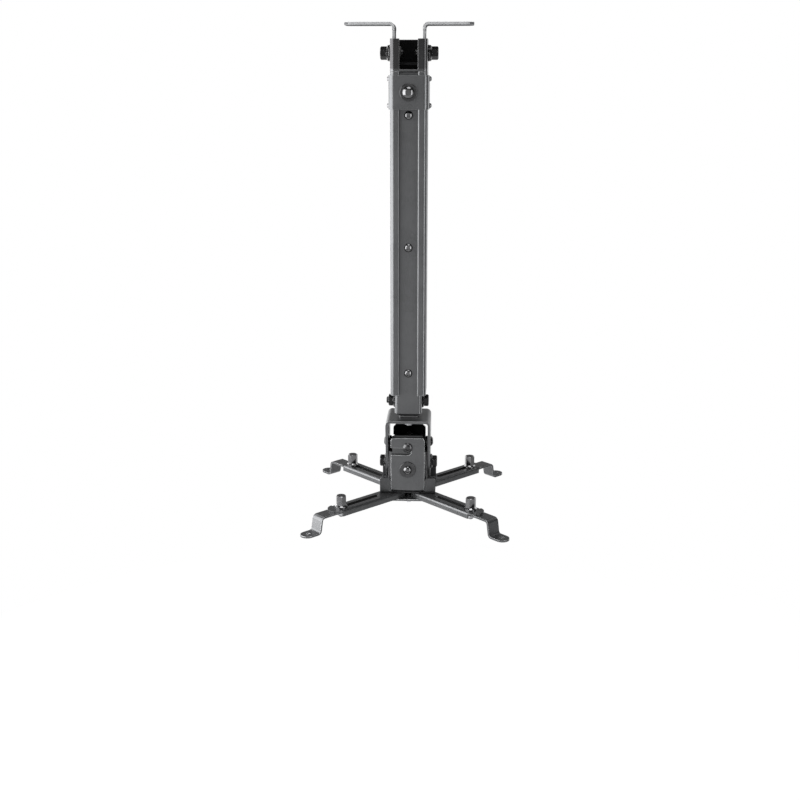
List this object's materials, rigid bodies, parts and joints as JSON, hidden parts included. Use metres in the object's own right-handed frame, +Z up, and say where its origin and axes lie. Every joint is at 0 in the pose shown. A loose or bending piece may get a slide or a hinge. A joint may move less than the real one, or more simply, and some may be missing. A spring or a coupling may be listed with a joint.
{
  "type": "projector ceiling mount",
  "caption": "Telescopic ceiling mount for a projector: slotted channel column, sliding inner tube, tilting and turning head, slotted arms with drop legs.",
  "frame": {"origin": "centre of the two ceiling slots, on the ceiling bracket's top face and on the column's axis", "axes": "+Z up to the ceiling along the column, -Y to the front where the column's slot is, +X to the right"},
  "size_m": [0.2436, 0.2436, 0.58],
  "materials": {
    "bracket_coat": "satin powder coat",
    "black_coat": "satin powder coat",
    "graphite_coat": "satin powder coat",
    "black_bolts": "black oxide",
    "bright_screws": "dark nickel plate",
    "plain_steel": "zinc plate",
    "nylon": "moulded"
  },
  "bodies": {
    "ceiling": {"ceiling_bracket": "bracket_coat", "tilt_bolts": "black_bolts", "tilt_washers": "black_bolts", "tilt_nuts": "plain_steel"},
    "column": {"tilt_head": "black_coat", "outer_column": "graphite_coat", "lower_glides": "nylon"},
    "slider": {"inner_column": "graphite_coat", "upper_glides": "nylon", "clamp_collar": "graphite_coat", "collar_screws": "bright_screws", "height_lock_bolt": "bright_screws", "height_lock_washer": "bright_screws", "height_lock_nut": "plain_steel", "column_screws": "bright_screws", "column_insert": "nylon", "cross_bolt": "black_bolts", "cross_nut": "black_bolts", "swivel_bolt": "plain_steel", "swivel_washer": "plain_steel", "swivel_nut": "plain_steel"},
    "yoke": {"swivel_yoke": "graphite_coat"},
    "tilt_frame": {"tilt_box": "black_coat", "box_nuts_small": "plain_steel", "box_nuts_large": "plain_steel", "pitch_pivot_screws": "black_bolts", "pitch_lock_bolts": "black_bolts", "roll_pivot_screws": "bright_screws", "roll_lock_screws": "bright_screws", "roll_lock_washers": "bright_screws"},
    "hub": {"hub_bracket": "graphite_coat", "hub_tray": "graphite_coat", "hub_plate": "graphite_coat", "hub_spacer": "plain_steel", "hub_bolt": "plain_steel", "hub_nut": "plain_steel", "arm_pivots": "plain_steel"},
    "arm_front_right": {"arm_front_right": "graphite_coat"},
    "leg_front_right": {"leg_front_right": "graphite_coat", "leg_bolt_front_right": "black_bolts", "leg_nut_front_right": "plain_steel"},
    "arm_back_right": {"arm_back_right": "graphite_coat"},
    "leg_back_right": {"leg_back_right": "graphite_coat", "leg_bolt_back_right": "black_bolts", "leg_nut_back_right": "plain_steel"},
    "arm_back_left": {"arm_back_left": "graphite_coat"},
    "leg_back_left": {"leg_back_left": "graphite_coat", "leg_bolt_back_left": "black_bolts", "leg_nut_back_left": "plain_steel"},
    "arm_front_left": {"arm_front_left": "graphite_coat"},
    "leg_front_left": {"leg_front_left": "graphite_coat", "leg_bolt_front_left": "black_bolts", "leg_nut_front_left": "plain_steel"}
  },
  "joints": [
    {"name": "ceiling_tilt", "type": "hinge", "parent": "ceiling", "child": "column", "pos_m": [0, 0, -0.0335], "axis": [1, 0, 0], "range_deg": [-15, 15]},
    {"name": "column_extend", "type": "slide", "parent": "column", "child": "slider", "axis": [0, 0, -1], "range_m": [0, 0.265]},
    {"name": "head_pan", "type": "hinge", "parent": "slider", "child": "yoke", "pos_m": [0, 0, -0.4645], "axis": [0, 0, 1], "range_deg": [-180, 180]},
    {"name": "head_pitch", "type": "hinge", "parent": "yoke", "child": "tilt_frame", "pos_m": [0, 0, -0.498], "axis": [1, 0, 0], "range_deg": [-15, 15]},
    {"name": "head_roll", "type": "hinge", "parent": "tilt_frame", "child": "hub", "pos_m": [0, 0, -0.498], "axis": [0, 1, 0], "range_deg": [-10, 10]},
    {"name": "arm_swing_front_right", "type": "hinge", "parent": "hub", "child": "arm_front_right", "pos_m": [0.02192, -0.02192, -0.5571], "axis": [0, 0, 1], "range_deg": [-20, 20]},
    {"name": "leg_slide_front_right", "type": "slide", "parent": "arm_front_right", "child": "leg_front_right", "axis": [0.7071, -0.7071, 0], "range_m": [-0.055, 0.003]},
    {"name": "arm_swing_back_right", "type": "hinge", "parent": "hub", "child": "arm_back_right", "pos_m": [0.02192, 0.02192, -0.5571], "axis": [0, 0, 1], "range_deg": [-20, 20]},
    {"name": "leg_slide_back_right", "type": "slide", "parent": "arm_back_right", "child": "leg_back_right", "axis": [0.7071, 0.7071, 0], "range_m": [-0.055, 0.003]},
    {"name": "arm_swing_back_left", "type": "hinge", "parent": "hub", "child": "arm_back_left", "pos_m": [-0.02192, 0.02192, -0.5571], "axis": [0, 0, 1], "range_deg": [-20, 20]},
    {"name": "leg_slide_back_left", "type": "slide", "parent": "arm_back_left", "child": "leg_back_left", "axis": [-0.7071, 0.7071, 0], "range_m": [-0.055, 0.003]},
    {"name": "arm_swing_front_left", "type": "hinge", "parent": "hub", "child": "arm_front_left", "pos_m": [-0.02192, -0.02192, -0.5571], "axis": [0, 0, 1], "range_deg": [-20, 20]},
    {"name": "leg_slide_front_left", "type": "slide", "parent": "arm_front_left", "child": "leg_front_left", "axis": [-0.7071, -0.7071, 0], "range_m": [-0.055, 0.003]}
  ]
}
